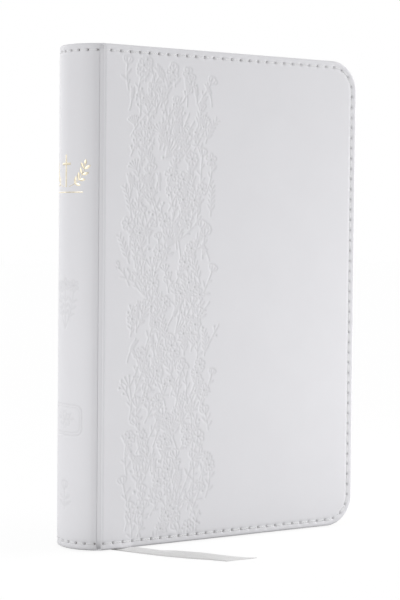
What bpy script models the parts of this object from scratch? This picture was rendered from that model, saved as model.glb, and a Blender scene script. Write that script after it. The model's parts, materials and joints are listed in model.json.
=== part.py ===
"""A prayer book in a soft white cover, standing on its tail edge.

Lengths are written in millimetres times MM, and the model is in metres. +X runs from the
spine to the fore-edge, +Y from the front cover to the back cover, and +Z from the tail to
the head. The origin is at the tail end of the spine, in the middle of its wall.

The book is a case (two covers and a round spine) around a sewn text block of sixteen
signatures. A fold in paper or cover cloth bends, and a solid doesn't, so each signature is
a fixed fold at the spine and a block of leaves that turns beside it.
"""

import math

import bmesh
import bpy
from mathutils import Vector

MM = 0.001

# Driving dimensions of the case
HEIGHT = 218.0 * MM
THICKNESS = 32.8 * MM
COVER_WIDTH = 137.5 * MM            # joint to fore-edge
SPINE_BULGE = 10.0 * MM             # spine past the joint
SPINE_END_WALL = 2.2 * MM           # spine wall at its turned-in ends
CORNER_RADIUS = 14.0 * MM
FIT_GAP = 0.1 * MM                  # between layers glued to each other

# Layers of a cover, from the outside in
SKIN = 0.7 * MM
BOARD = 1.1 * MM
TURN_IN = 0.4 * MM
PASTEDOWN = 0.2 * MM
EDGE_WALL = 0.8 * MM                # skin around the edge of the board
TURN_IN_WIDTH = 11.0 * MM
PASTEDOWN_INSET = 3.0 * MM
HINGE_SETBACK = 1.5 * MM            # joint to the first solid part of a cover
EDGE_ROUNDING = ((0.0, 0.9), (0.12, 0.4), (0.4, 0.1), (0.8, 0.0))    # (drop, inset), millimetres
INNER_ROUNDING = 0.4 * MM
INNER_INSET = 0.3 * MM

# Stitching round the cover
STITCH_INSET = 2.9 * MM
GROOVE_WIDTH = 0.9 * MM
GROOVE_DEPTH = 0.45 * MM
THREAD_RADIUS = 0.2 * MM
THREAD_CLEARANCE = 0.03 * MM        # between the thread and the floor of its groove

# Spine, from the outside in
SPINE_SKIN = 1.0 * MM
STIFFENER = 0.7 * MM
STIFFENER_HALF_ANGLE = math.radians(55.0)
SPINE_FLAP = 0.3 * MM
SPINE_FLAP_LENGTH = 12.0 * MM
SPINE_END_LIP = 0.8 * MM
SPINE_END_ROUNDING = 0.5 * MM

# Text block
SQUARE = 4.0 * MM                   # cover past the pages at head and tail
PAGE_CORNER = 10.0 * MM
SIGNATURES_PER_SIDE = 8
SIGNATURE_PITCH = 1.58 * MM
SIGNATURE_THICKNESS = 1.43 * MM
RIBBON_GAP = 0.9 * MM               # between the two middle signatures
FOLD_APEX_X = 4.6 * MM
FOLD_ARC_RADIUS = 19.66 * MM
PAGE_WIDTH = 132.7 * MM             # fold to fore-edge
FIRST_HINGE_X = 13.4 * MM
WIDEST_TURN = math.radians(90.0)
TURN_CLEARANCE = 0.15 * MM
FLYLEAF = 0.25 * MM
FLYLEAF_DEPTH = 13.375 * MM         # middle plane of a flyleaf from the middle of the book
FLYLEAF_HINGE_X = 12.4 * MM
FLYLEAF_FORE_X = 141.6 * MM

# Linings, bands and sewing on the folds
BAND_TAPE = 0.25 * MM
BAND_TAPE_LENGTH = 9.0 * MM
BAND_RADIUS = 0.9 * MM
BAND_GAP = 0.15 * MM
MULL = 0.2 * MM
MULL_RADIUS = 20.3 * MM
LINING = 0.3 * MM
LINING_HALF_WIDTH = 12.3 * MM
SEWING_RADIUS = 19.98 * MM
SEWING_THREAD_RADIUS = 0.17 * MM
SEWING_MARGIN = 14.0 * MM           # kettle stitches from the ends of the pages

# Ribbon marker
RIBBON_WIDTH = 6.5 * MM
RIBBON_THICKNESS = 0.3 * MM
RIBBON_TAIL_X = 13.3 * MM
RIBBON_HEAD_X = 10.0 * MM
RIBBON_HEAD_Z = 211.0 * MM
RIBBON_FOOT_Z = 1.0 * MM
RIBBON_FLOOR_Z = -0.45 * MM
RIBBON_COURSE = ((13.0 * MM, 1.5 * MM), (19.0 * MM, -16.0 * MM),
                 (30.0 * MM, -47.0 * MM), (56.5 * MM, -64.5 * MM))
RIBBON_TIP_SLANT = 13.0 * MM
RIBBON_SLANT_START = 0.6            # share of the course before the slanted tip begins

# Values that follow
OUTER_Y = THICKNESS / 2
SPINE_APEX_X = -SPINE_END_WALL / 2
JOINT_X = SPINE_APEX_X + SPINE_BULGE
FORE_EDGE_X = JOINT_X + COVER_WIDTH
COVER_START_X = JOINT_X + HINGE_SETBACK
SPINE_RADIUS = (OUTER_Y ** 2 + SPINE_BULGE ** 2) / (2 * SPINE_BULGE)
SPINE_CENTRE_X = SPINE_APEX_X + SPINE_RADIUS
SPINE_HALF_ANGLE = math.asin(OUTER_Y / SPINE_RADIUS)
FOLD_CENTRE_X = FOLD_APEX_X + FOLD_ARC_RADIUS
SIGNATURE_RADIUS = SIGNATURE_THICKNESS / 2
PAGE_TAIL = SQUARE
PAGE_HEAD = HEIGHT - SQUARE
LINING_RADIUS = MULL_RADIUS + MULL + FIT_GAP

CORNER_STEPS = 6
PAGE_CORNER_STEPS = 5
SPINE_STEPS = 22
FOLD_STEPS = 14
ROUND_STEPS = 4
THREAD_SIDES = 6
BEAD_TURN = range(100, 361, 20)     # degrees round a head band's bead
SHARP_ANGLE = math.radians(35.0)
CUTTER_OVERRUN = 1.0 * MM           # how far a cutting shape stands past what it cuts
FRONT, BACK = -1, 1

COLOURS = {
    "cover_leather": ((0.80, 0.80, 0.82), 0.45, 0.0),
    "stitching_thread": ((0.88, 0.88, 0.89), 0.60, 0.0),
    "board": ((0.55, 0.48, 0.38), 0.85, 0.0),
    "stiffener_card": ((0.62, 0.58, 0.50), 0.85, 0.0),
    "endpaper": ((0.90, 0.89, 0.85), 0.70, 0.0),
    "page_paper": ((0.86, 0.80, 0.66), 0.60, 0.0),
    "lining_paper": ((0.60, 0.46, 0.30), 0.80, 0.0),
    "mull_cloth": ((0.86, 0.85, 0.80), 0.90, 0.0),
    "band_cloth": ((0.85, 0.84, 0.83), 0.70, 0.0),
    "sewing_thread": ((0.90, 0.88, 0.82), 0.70, 0.0),
    "ribbon_satin": ((0.70, 0.69, 0.71), 0.35, 0.0),
}


def clear_scene():
    for old in list(bpy.data.objects):
        bpy.data.objects.remove(old, do_unlink=True)


def make_materials():
    materials = {}
    for name, (colour, roughness, metallic) in COLOURS.items():
        material = bpy.data.materials.new(name)
        material.use_nodes = True
        shader = material.node_tree.nodes["Principled BSDF"]
        shader.inputs["Base Color"].default_value = (*colour, 1.0)
        shader.inputs["Roughness"].default_value = roughness
        shader.inputs["Metallic"].default_value = metallic
        material.diffuse_color = (*colour, 1.0)
        materials[name] = material
    return materials


def loft(name, rings, material, origin=(0.0, 0.0, 0.0)):
    """A closed body through a row of equal rings of points, capped at both ends."""
    origin = Vector(origin)
    shape = bmesh.new()
    rows = [[shape.verts.new(Vector(point) - origin) for point in ring] for ring in rings]
    count = len(rows[0])
    for row, following in zip(rows, rows[1:]):
        for k in range(count):
            after = (k + 1) % count
            shape.faces.new((row[k], row[after], following[after], following[k]))
    shape.faces.new(rows[0])
    shape.faces.new(rows[-1])
    bmesh.ops.recalc_face_normals(shape, faces=shape.faces)
    mesh = bpy.data.meshes.new(name)
    shape.to_mesh(mesh)
    shape.free()
    mesh.shade_smooth()
    mesh.set_sharp_from_angle(angle=SHARP_ANGLE)
    piece = bpy.data.objects.new(name, mesh)
    piece.location = origin
    bpy.context.collection.objects.link(piece)
    if material:
        mesh.materials.append(material)
    return piece


def cut(piece, cutter):
    """Take the cutter's volume out of a piece."""
    cutter.display_type = "WIRE"
    cutter.hide_render = True
    boolean = piece.modifiers.new("cut", "BOOLEAN")
    boolean.operation = "DIFFERENCE"
    boolean.solver = "EXACT"
    boolean.object = cutter


def outline(hinge_x, fore_x, tail_z, head_z, radius, steps):
    """Points (x, z) round a leaf: square at the hinge, rounded at both fore-edge corners."""
    points = [(hinge_x, tail_z)]
    for centre_z, start in ((tail_z + radius, -90.0), (head_z - radius, 0.0)):
        for step in range(steps + 1):
            angle = math.radians(start + 90.0 * step / steps)
            x = fore_x - radius + radius * math.cos(angle)
            z = centre_z + radius * math.sin(angle)
            points.append((x, z))
    points.append((hinge_x, head_z))
    return points


def cover_outline(inset, hinge_x=COVER_START_X):
    return outline(hinge_x, FORE_EDGE_X - inset, inset, HEIGHT - inset, CORNER_RADIUS - inset, CORNER_STEPS)


def ring_at(points, y):
    return [(x, y, z) for x, z in points]


def cover_plate(name, side, levels, material, hinge_x=COVER_START_X, origin=(0.0, 0.0, 0.0)):
    """A plate in the cover's outline; each level is (distance from the middle plane, inset)."""
    rings = [ring_at(cover_outline(inset, hinge_x), side * depth) for depth, inset in levels]
    return loft(name, rings, material, origin)


def cover_rim_bar(name, side, section, material, hinge_x, origin=(0.0, 0.0, 0.0)):
    """A bar round the three free edges; the section is points (inset, distance from the middle)."""
    edges = [cover_outline(inset, hinge_x) for inset, depth in section]
    rings = []
    for k in range(len(edges[0])):
        places = [edge[k] for edge in edges]
        rings.append([(x, side * depth, z) for (x, z), (inset, depth) in zip(places, section)])
    return loft(name, rings, material, origin)


def circle(centre, radius, sides):
    points = []
    for k in range(sides):
        angle = math.tau * k / sides
        points.append((centre[0] + radius * math.cos(angle), centre[1] + radius * math.sin(angle)))
    return points


def arc_bar(name, section, centre_x, half_angle, steps, material):
    """A bar bent round the spine; the section is points (radius, z)."""
    rings = []
    for step in range(steps + 1):
        angle = half_angle * (2 * step / steps - 1)
        toward, aside = -math.cos(angle), math.sin(angle)
        rings.append([(centre_x + radius * toward, radius * aside, z) for radius, z in section])
    return loft(name, rings, material)


def tube(name, path, radius, sides, material):
    """A round thread along a path of points."""
    points = [Vector(point) for point in path]
    side_axis = Vector((0.0, 1.0, 0.0))
    rings = []
    for k, point in enumerate(points):
        ahead = points[min(k + 1, len(points) - 1)] - points[max(k - 1, 0)]
        ahead.normalize()
        side_axis = (side_axis - ahead * side_axis.dot(ahead)).normalized()
        up_axis = ahead.cross(side_axis)
        rings.append([point + side_axis * x + up_axis * y for x, y in circle((0.0, 0.0), radius, sides)])
    return loft(name, rings, material)


def build_cover(side, prefix, materials):
    """Skin, board, pastedown and stitching of one cover."""
    hinge = (JOINT_X, side * OUTER_Y, 0.0)
    skin_inner = OUTER_Y - SKIN
    board_outer = skin_inner - FIT_GAP
    board_inner = board_outer - BOARD
    flap_outer = board_inner - FIT_GAP
    flap_inner = flap_outer - TURN_IN
    paste_outer = flap_inner - FIT_GAP
    paste_inner = paste_outer - PASTEDOWN

    levels = [(OUTER_Y - drop * MM, inset * MM) for drop, inset in EDGE_ROUNDING]
    levels += [(flap_inner + INNER_ROUNDING, 0.0), (flap_inner, INNER_INSET)]
    skin = cover_plate(prefix + "_cover_skin", side, levels, materials["cover_leather"], origin=hinge)

    open_x = COVER_START_X - 2 * CUTTER_OVERRUN
    pocket_levels = [(skin_inner, EDGE_WALL), (flap_outer, EDGE_WALL)]
    pocket = cover_plate(prefix + "_board_pocket", side, pocket_levels, None, hinge_x=open_x)
    window_levels = [(board_outer, TURN_IN_WIDTH), (flap_inner - CUTTER_OVERRUN, TURN_IN_WIDTH)]
    window = cover_plate(prefix + "_turn_in_window", side, window_levels, None,
                         hinge_x=open_x - CUTTER_OVERRUN)
    half_groove = GROOVE_WIDTH / 2
    groove_floor = OUTER_Y - GROOVE_DEPTH
    groove_top = OUTER_Y + CUTTER_OVERRUN
    groove_section = [(STITCH_INSET - half_groove, groove_top), (STITCH_INSET + half_groove, groove_top),
                      (STITCH_INSET + half_groove, groove_floor), (STITCH_INSET - half_groove, groove_floor)]
    groove = cover_rim_bar(prefix + "_stitch_groove", side, groove_section, None, open_x)
    for cutter in (pocket, window, groove):
        cut(skin, cutter)

    board_inset = EDGE_WALL + FIT_GAP
    cover_plate(prefix + "_cover_board", side, [(board_outer, board_inset), (board_inner, board_inset)],
                materials["board"], origin=hinge)
    cover_plate(prefix + "_pastedown", side, [(paste_outer, PASTEDOWN_INSET), (paste_inner, PASTEDOWN_INSET)],
                materials["endpaper"], origin=hinge)
    thread_depth = groove_floor + THREAD_RADIUS + THREAD_CLEARANCE
    thread_section = circle((STITCH_INSET, thread_depth), THREAD_RADIUS, THREAD_SIDES)
    cover_rim_bar(prefix + "_cover_stitching", side, thread_section, materials["stitching_thread"],
                  COVER_START_X + 0.5 * MM, origin=hinge)


def build_spine(materials):
    """Skin with turned-in ends, stiffener and the stitches across both ends."""
    wall_inner = SPINE_RADIUS - SPINE_SKIN
    flap_inner = SPINE_RADIUS - SPINE_END_WALL
    flap_outer = flap_inner + SPINE_FLAP
    groove_floor = SPINE_RADIUS - GROOVE_DEPTH
    groove_near = STITCH_INSET - GROOVE_WIDTH / 2
    groove_far = STITCH_INSET + GROOVE_WIDTH / 2
    # Half of the section as (radius, height): down the outer face, round the end and back inside
    tail_end = [(SPINE_RADIUS, groove_far), (groove_floor, groove_far), (groove_floor, groove_near),
                (SPINE_RADIUS, groove_near), (SPINE_RADIUS, SPINE_END_ROUNDING),
                (SPINE_RADIUS - SPINE_END_ROUNDING, 0.0), (flap_inner, 0.0), (flap_inner, SPINE_FLAP_LENGTH),
                (flap_outer, SPINE_FLAP_LENGTH), (flap_outer, SPINE_END_LIP), (wall_inner, SPINE_END_LIP)]
    head_end = [(radius, HEIGHT - z) for radius, z in tail_end]
    arc_bar("spine_skin", tail_end + head_end[::-1], SPINE_CENTRE_X, SPINE_HALF_ANGLE, SPINE_STEPS,
            materials["cover_leather"])

    stiffener_outer = wall_inner - FIT_GAP
    stiffener_inner = stiffener_outer - STIFFENER
    low = SPINE_END_LIP + FIT_GAP
    high = HEIGHT - low
    stiffener_section = [(stiffener_outer, low), (stiffener_outer, high), (stiffener_inner, high),
                         (stiffener_inner, low)]
    arc_bar("spine_stiffener", stiffener_section, SPINE_CENTRE_X, STIFFENER_HALF_ANGLE, SPINE_STEPS,
            materials["stiffener_card"])

    thread_radius = groove_floor + THREAD_RADIUS + THREAD_CLEARANCE
    thread_half_angle = SPINE_HALF_ANGLE * (SPINE_STEPS - 1) / SPINE_STEPS
    for name, z in (("spine_tail_stitching", STITCH_INSET), ("spine_head_stitching", HEIGHT - STITCH_INSET)):
        section = circle((thread_radius, z), THREAD_RADIUS, THREAD_SIDES)
        arc_bar(name, section, SPINE_CENTRE_X, thread_half_angle,
                SPINE_STEPS - 1, materials["stitching_thread"])


def signature_places():
    """For the front half, outermost first: (distance from the middle of the book, hinge x)."""
    places = []
    hinge_x = FIRST_HINGE_X
    for number in range(SIGNATURES_PER_SIDE):
        turn = WIDEST_TURN * (SIGNATURES_PER_SIDE - number) / SIGNATURES_PER_SIDE
        if number:
            hinge_x += SIGNATURE_PITCH * math.tan(turn / 2)
        inner = SIGNATURES_PER_SIDE - 1 - number
        depth = RIBBON_GAP / 2 + SIGNATURE_PITCH * (inner + 0.5)
        places.append((depth, hinge_x))
    return places


def fold_centre_x(depth):
    """Centre of a fold's round back, on an arc inside the line of the folds."""
    arc = FOLD_ARC_RADIUS - SIGNATURE_RADIUS
    return FOLD_CENTRE_X - math.sqrt(arc ** 2 - depth ** 2)


def half_turn():
    """Cosines and sines over half a turn, from one face of a signature to the other."""
    for step in range(ROUND_STEPS + 1):
        angle = math.radians(-90.0 + 180.0 * step / ROUND_STEPS)
        yield math.cos(angle), math.sin(angle)


def build_signature(label, y, hinge_x, materials):
    """The fixed fold of a signature, and its leaves with a round end on their turning axis."""
    back_x = fold_centre_x(abs(y))
    fold_end = hinge_x - SIGNATURE_RADIUS - TURN_CLEARANCE
    fold_rings = []
    leaf_rings = []
    fore_x = back_x - SIGNATURE_RADIUS + PAGE_WIDTH
    for cosine, sine in half_turn():
        level = y + SIGNATURE_RADIUS * sine
        start_x = back_x - SIGNATURE_RADIUS * cosine
        fold_rings.append([(start_x, level, PAGE_TAIL), (fold_end, level, PAGE_TAIL),
                           (fold_end, level, PAGE_HEAD), (start_x, level, PAGE_HEAD)])
        leaf_start = hinge_x - SIGNATURE_RADIUS * cosine
        leaf_rings.append(ring_at(outline(leaf_start, fore_x, PAGE_TAIL, PAGE_HEAD, PAGE_CORNER,
                                          PAGE_CORNER_STEPS), level))
    paper = materials["page_paper"]
    loft(label + "_fold", fold_rings, paper)
    loft(label + "_leaves", leaf_rings, paper, origin=(hinge_x, y, 0.0))


def build_text_block(materials):
    last = 2 * SIGNATURES_PER_SIDE
    for place, (depth, hinge_x) in enumerate(signature_places()):
        build_signature(f"signature_{place + 1:02d}", FRONT * depth, hinge_x, materials)
        build_signature(f"signature_{last - place:02d}", BACK * depth, hinge_x, materials)

    for side, prefix in ((FRONT, "front"), (BACK, "back")):
        rings = []
        for offset in (-FLYLEAF / 2, FLYLEAF / 2):
            points = outline(FLYLEAF_HINGE_X, FLYLEAF_FORE_X, PAGE_TAIL, PAGE_HEAD, PAGE_CORNER,
                             PAGE_CORNER_STEPS)
            rings.append(ring_at(points, side * FLYLEAF_DEPTH + offset))
        loft(prefix + "_flyleaf", rings, materials["endpaper"],
             origin=(FLYLEAF_HINGE_X, side * FLYLEAF_DEPTH, 0.0))


def build_band(name, height_of, materials):
    """A bead over the ends of the folds, with its tape; height_of turns a tail height into its own."""
    tape_inner = FOLD_ARC_RADIUS + BAND_GAP
    tape_outer = tape_inner + BAND_TAPE
    bead_radius = tape_outer - BAND_RADIUS
    bead_z = SQUARE - BAND_GAP - BAND_RADIUS - FIT_GAP
    section = [(tape_inner, SQUARE + BAND_TAPE_LENGTH), (tape_inner, SQUARE)]
    for angle in BEAD_TURN:
        turned = math.radians(angle)
        radius = bead_radius + BAND_RADIUS * math.cos(turned)
        section.append((radius, bead_z + BAND_RADIUS * math.sin(turned)))
    section.append((tape_outer, SQUARE + BAND_TAPE_LENGTH))
    section = [(radius, height_of(z)) for radius, z in section]
    half_angle = math.asin(LINING_HALF_WIDTH / tape_outer)
    arc_bar(name, section, FOLD_CENTRE_X, half_angle, FOLD_STEPS, materials["band_cloth"])


def build_linings(materials):
    """Mull cloth and paper lining on the folds, head and tail bands, and the sewing thread."""
    tail, head = PAGE_TAIL + MM, PAGE_HEAD - MM
    for name, inner, thickness, finish in (("spine_mull", MULL_RADIUS, MULL, "mull_cloth"),
                                           ("spine_lining", LINING_RADIUS, LINING, "lining_paper")):
        outer = inner + thickness
        half_angle = math.asin(LINING_HALF_WIDTH / inner)
        arc_bar(name, [(inner, tail), (outer, tail), (outer, head), (inner, head)], FOLD_CENTRE_X, half_angle,
                FOLD_STEPS, materials[finish])

    build_band("tailband", lambda z: z, materials)
    build_band("headband", lambda z: HEIGHT - z, materials)

    low = PAGE_TAIL + SEWING_MARGIN
    high = PAGE_HEAD - SEWING_MARGIN
    depths = [depth for depth, hinge_x in signature_places()]
    rows = [FRONT * depth for depth in depths] + [BACK * depth for depth in reversed(depths)]
    path = []
    for number, y in enumerate(rows):
        ends = (low, high) if number % 2 == 0 else (high, low)
        for z in ends:
            angle = math.asin(y / SEWING_RADIUS)
            path.append((FOLD_CENTRE_X - SEWING_RADIUS * math.cos(angle), y, z))
    tube("sewing_thread", soften(path), SEWING_THREAD_RADIUS, THREAD_SIDES, materials["sewing_thread"])


def soften(path):
    """Round each corner of a path with three points."""
    reach = 0.45 * SIGNATURE_PITCH
    points = [Vector(point) for point in path]
    rounded = [points[0]]
    for before, corner, after in zip(points, points[1:], points[2:]):
        entry = corner + (before - corner).normalized() * reach
        leave = corner + (after - corner).normalized() * reach
        rounded += [entry, entry * 0.25 + corner * 0.5 + leave * 0.25, leave]
    rounded.append(points[-1])
    return rounded


def bezier(points, t):
    """A point of the cubic curve through the control polygon, and its direction."""
    a, b, c, d = (Vector(point) for point in points)
    s = 1 - t
    place = a * s ** 3 + b * 3 * s * s * t + c * 3 * s * t * t + d * t ** 3
    heading = ((b - a) * s * s + (c - b) * 2 * s * t + (d - c) * t * t).normalized()
    return place, heading


def build_ribbon(materials):
    """The marker inside the book, and its tail that leaves under the front cover."""
    half = RIBBON_WIDTH / 2
    thin = RIBBON_THICKNESS / 2
    steps = 12
    rings = []
    for step in range(steps + 1):
        t = step / steps
        ease = t * t * (3 - 2 * t)
        x = RIBBON_TAIL_X + (RIBBON_HEAD_X - RIBBON_TAIL_X) * ease
        z = RIBBON_FOOT_Z + (RIBBON_HEAD_Z - RIBBON_FOOT_Z) * t
        rings.append([(x - half, -thin, z), (x + half, -thin, z), (x + half, thin, z), (x - half, thin, z)])
    loft("ribbon_marker", rings, materials["ribbon_satin"])

    steps = 16
    rings = []
    for step in range(steps + 1):
        t = step / steps
        place, heading = bezier(RIBBON_COURSE, t)
        across = Vector((-heading.y, heading.x))
        slant = RIBBON_TIP_SLANT * max(0.0, (t - RIBBON_SLANT_START) / (1 - RIBBON_SLANT_START)) ** 2
        left = place + across * half
        right = place - across * half - heading * slant
        low, high = RIBBON_FLOOR_Z - thin, RIBBON_FLOOR_Z + thin
        rings.append([(left.x, left.y, low), (right.x, right.y, low), (right.x, right.y, high),
                      (left.x, left.y, high)])
    loft("ribbon_tail", rings, materials["ribbon_satin"], origin=(RIBBON_TAIL_X, 0.0, 0.0))


def main():
    clear_scene()
    materials = make_materials()
    build_cover(FRONT, "front", materials)
    build_cover(BACK, "back", materials)
    build_spine(materials)
    build_text_block(materials)
    build_linings(materials)
    build_ribbon(materials)


main()
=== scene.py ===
"""Looks of a prayer book with a soft white stitched cover, built round its CAD frame.

Lengths are millimetres times MM. Inside this script a point of a cover is given by how far
it lies from the free edge (inset), and how deep it lies under the cover's outer face (depth).
"""

import json
import math

import bmesh
import bpy
import numpy as np
from mathutils import Matrix, Vector, geometry


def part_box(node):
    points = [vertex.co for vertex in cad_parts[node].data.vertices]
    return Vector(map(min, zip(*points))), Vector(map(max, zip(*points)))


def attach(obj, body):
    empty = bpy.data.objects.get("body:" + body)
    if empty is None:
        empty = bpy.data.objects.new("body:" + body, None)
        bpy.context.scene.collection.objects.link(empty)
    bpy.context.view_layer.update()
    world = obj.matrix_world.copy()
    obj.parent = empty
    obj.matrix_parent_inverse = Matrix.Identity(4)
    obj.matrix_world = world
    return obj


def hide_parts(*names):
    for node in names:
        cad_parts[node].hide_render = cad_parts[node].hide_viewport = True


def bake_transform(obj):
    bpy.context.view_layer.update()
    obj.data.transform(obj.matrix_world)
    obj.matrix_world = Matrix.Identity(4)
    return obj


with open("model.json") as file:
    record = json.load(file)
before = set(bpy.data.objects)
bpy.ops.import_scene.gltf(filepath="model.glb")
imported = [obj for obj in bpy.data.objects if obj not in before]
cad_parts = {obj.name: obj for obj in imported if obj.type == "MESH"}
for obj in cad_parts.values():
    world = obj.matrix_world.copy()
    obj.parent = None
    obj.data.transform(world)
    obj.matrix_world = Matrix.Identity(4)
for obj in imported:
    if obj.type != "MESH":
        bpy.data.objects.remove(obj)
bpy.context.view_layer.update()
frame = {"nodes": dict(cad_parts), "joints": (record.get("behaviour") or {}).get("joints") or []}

MM = 0.001
FRONT, BACK = -1, 1
SIDES = ((FRONT, "front"), (BACK, "back"))
JOINTS = {joint["name"]: joint for joint in frame["joints"]}

# Case, read from the frame
SKIN_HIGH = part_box("front_cover_skin")[1]
HEIGHT = SKIN_HIGH.z
FORE_X = SKIN_HIGH.x
HINGE_X, OUTER_Y = JOINTS["back_cover_hinge"]["pos_m"][:2]
SPINE_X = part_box("spine_skin")[0].x
BULGE = HINGE_X - SPINE_X
SPINE_RADIUS = (OUTER_Y ** 2 + BULGE ** 2) / (2 * BULGE)
SPINE_CENTRE_X = SPINE_X + SPINE_RADIUS
CORNER = 14 * MM
CORNER_X = FORE_X - CORNER
COVER_DEPTH = 2.4 * MM
SKIN_WALL = 0.7 * MM
LIP_DEPTH = 2.0 * MM
LIP_WIDTH = 11 * MM
EDGE_ROLL = 0.9 * MM
POCKET_INSET = 0.8 * MM             # skin left around the edge of the board
FLAT_X = 13.0 * MM                  # past this the cover is flat
SEAM_X = 7.2 * MM                   # where the cover's skin takes over from the spine's
GRID = 0.3 * MM

# Groove of the joint: its deepest line, its depth, and how far its slopes reach each way
GROOVE_X = HINGE_X - 0.65 * MM
GROOVE_DEPTH = 0.95 * MM
GROOVE_TO_SPINE = 3.4 * MM
GROOVE_TO_COVER = 1.9 * MM

# Spine
SPINE_END = math.acos((SPINE_CENTRE_X - SEAM_X) / SPINE_RADIUS)     # half the angle of its skin
SPINE_HALF = SPINE_RADIUS * SPINE_END
SPINE_WALL = 1.0 * MM
SPINE_FLAP_DEPTH = 2.2 * MM
SPINE_FLAP = 0.3 * MM
SPINE_FLAP_LENGTH = 12 * MM
EMBLEM_S = -1.5                     # millimetres from the middle of the spine, towards the front

# Stitched seam
STITCH_INSET = 2.9 * MM
STITCH_PITCH = 4.8 * MM
TAIL_FIRST_HOLE = 3.0 * MM          # from the spine's skin to the cover's first needle hole
HEAD_FIRST_HOLE = 5.2 * MM
SPINE_FIRST_HOLE = 0.9 * MM
FIELD_INSET = 5.0 * MM
STITCHED_DEPTH = 0.5 * MM           # rows of a section above this depth carry the seam's relief
CHANNEL_DEPTH, CHANNEL_WIDTH = 0.12 * MM, 0.95 * MM
PUCKER_DEPTH, PUCKER_WIDTH = 0.12 * MM, 1.2 * MM
HOLE_DEPTH, HOLE_LENGTH, HOLE_WIDTH = 0.6 * MM, 0.62 * MM, 0.42 * MM

# One stitch of two-ply thread: how low it lies, how much lower at its ends, and their gap to a hole
STITCH_SUNK, STITCH_DIP, STITCH_GAP = 0.19 * MM, 0.52 * MM, 0.28 * MM
PLY_RADIUS, PLY_OFFSET, PLY_TURNS = 0.19 * MM, 0.13 * MM, 1.6

# Embossed band on the front cover
BAND_LOW_X = HINGE_X + 6.5 * MM
BAND_HIGH_X = HINGE_X + 60.5 * MM
BAND_GRID = 0.28 * MM

# Text block
PAGES_LOW, PAGES_HIGH = (corner.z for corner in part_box("signature_01_leaves"))
PAGE_CORNER = 10 * MM
PAGE_SHARP = 40                     # degrees between faces past which an edge of paper stays sharp
FOLD_ARC = 19.66 * MM
FOLD_CENTRE_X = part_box("signature_08_fold")[0].x + FOLD_ARC - 0.02 * MM

# Ribbon
RIBBON_WIDTH = 6.4 * MM
RIBBON_THICK = 0.26 * MM
RIBBON_PLAN = ((13.3, 1.5), (19.8, -13.0), (29.5, -51.0), (57.7, -64.6))    # on the floor, millimetres
RIBBON_TOUCH = 0.13                 # share of the plan where the ribbon comes down on the floor
RIBBON_TILT = math.radians(14.0)
RIBBON_CUT = 14.0 * MM

# Camera
CAMERA_PLACE = Vector((-359.7 * MM, -647.3 * MM, 138.0 * MM))
CAMERA_YAW, CAMERA_PITCH, CAMERA_ROLL = (math.radians(a) for a in (33.566, -2.302, 0.53))
CAMERA_LENS = 102.2
CAMERA_FOCUS = 735 * MM
CAMERA_STOP = 26.0

# Stage: how bright the world and the floor are as seen, and as light
WORLD_SEEN, WORLD_LIT = 1.0, 0.52
FLOOR_SEEN, FLOOR_LIT = 0.90, 0.50
FLOOR_REACH = 6.0
SHADOW_REACH = 10 * MM
SOFT_RISE = 15.0
# Azimuth, power and spread of each far light
SOFT_LIGHTS = ((-75, 0.67, 50), (0, 0.75, 30), (160, 1.64, 50))
# Place, point aimed at, size and power of each near soft box
NEAR_BOXES = (((0.50, -0.12, 0.05), (0.10, -OUTER_Y, 0.11), 0.35, 1.0),
              ((-0.22, -0.10, 0.0), (0.0, -0.01, 0.03), 0.15, 0.20),
              ((0.30, -0.20, 0.0), (0.12, -OUTER_Y, 0.03), 0.15, 0.24))


def smooth(t):
    t = np.clip(t, 0.0, 1.0)
    return t * t * (3 - 2 * t)


def unit(rows):
    return rows / np.linalg.norm(rows, axis=1)[:, None]


def towards(heading):
    """A step of one along each heading, which turns from up to the right."""
    return np.stack([np.sin(heading), np.cos(heading)], axis=-1)


def run_length(points):
    """Distance of each point along the line through all of them."""
    return np.concatenate([[0.0], np.cumsum(np.linalg.norm(np.diff(points, axis=0), axis=1))])


def add_object(name, data):
    made = bpy.data.objects.new(name, data)
    bpy.context.scene.collection.objects.link(made)
    return made


# ---------------------------------------------------------------- materials

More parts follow.
